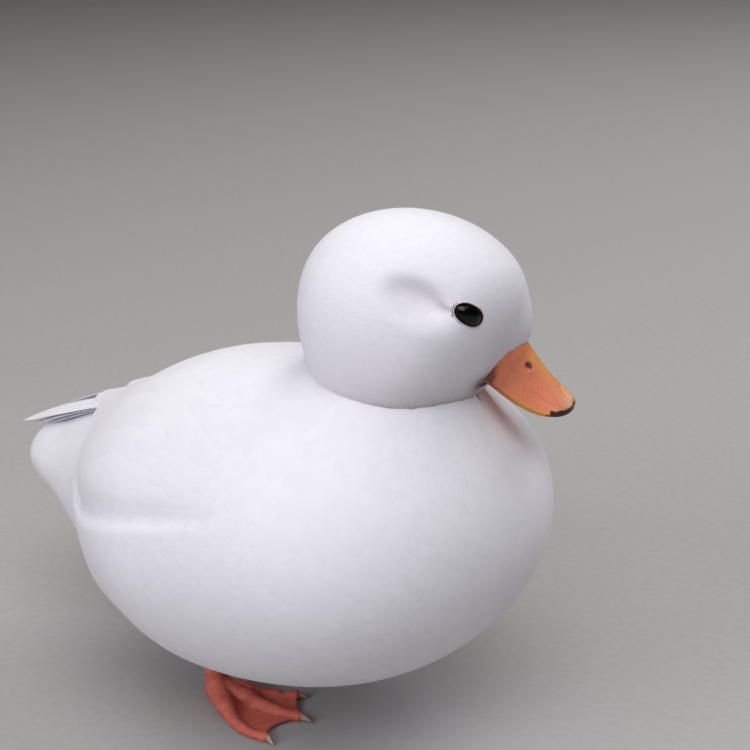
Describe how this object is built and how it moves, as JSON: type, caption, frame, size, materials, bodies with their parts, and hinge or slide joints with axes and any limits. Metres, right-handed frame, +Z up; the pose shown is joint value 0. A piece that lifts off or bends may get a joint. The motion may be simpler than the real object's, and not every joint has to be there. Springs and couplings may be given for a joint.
{
  "type": "call duck",
  "caption": "Life-size white call duck standing on two webbed feet with its head turned to its left; wings folded.",
  "frame": {"origin": "centre of the bounding box at floor level, under the soles of the feet", "axes": "+X forward along the body, towards the breast; +Y to the duck's left; +Z up"},
  "size_m": [0.2394, 0.1386, 0.1852],
  "materials": {
    "plumage": "matt white feathers",
    "bill": "smooth orange horn skin",
    "nail": "dark horn",
    "foot_skin": "scaly orange skin",
    "claw": "brown horn",
    "eye": "polished near black"
  },
  "bodies": {
    "root": {"torso": "plumage", "neck": "plumage", "head": "plumage", "tail": "plumage", "wing_right": "plumage", "wing_left": "plumage", "bill_upper": "bill", "bill_lower": "bill", "bill_nail": "nail", "eye_right": "eye", "eye_left": "eye", "leg_right": "foot_skin", "leg_left": "foot_skin", "foot_right": "foot_skin", "foot_left": "foot_skin", "claw_inner_right": "claw", "claw_middle_right": "claw", "claw_outer_right": "claw", "claw_inner_left": "claw", "claw_middle_left": "claw", "claw_outer_left": "claw"}
  },
  "joints": []
}
